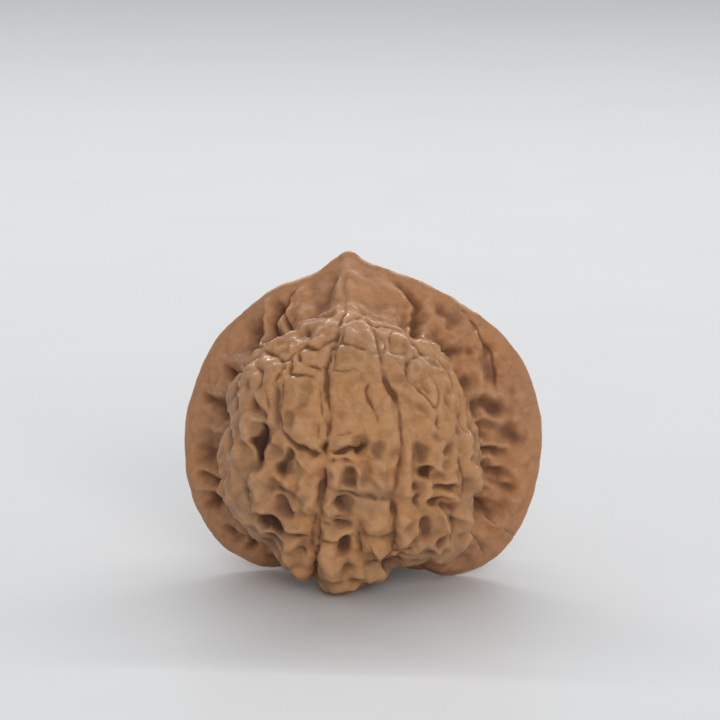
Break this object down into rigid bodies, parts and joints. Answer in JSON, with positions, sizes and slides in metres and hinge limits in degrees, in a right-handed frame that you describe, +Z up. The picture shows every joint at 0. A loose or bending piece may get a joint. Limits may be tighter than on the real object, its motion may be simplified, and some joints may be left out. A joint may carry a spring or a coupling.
{
  "type": "walnut",
  "caption": "Whole walnut in its closed shell, with a broad flange along the seam, a pointed beak and deeply furrowed bellies, standing on its base.",
  "frame": {"origin": "middle of the base, on the surface that the nut stands on", "axes": "+Z up from the base to the beak, X across the flange, Y from the back belly to the front belly's side, with the front belly at -Y"},
  "size_m": [0.0446, 0.037, 0.041],
  "materials": {
    "shell": "hand-polished satin nutshell"
  },
  "bodies": {
    "root": {"walnut": "shell"}
  },
  "joints": []
}
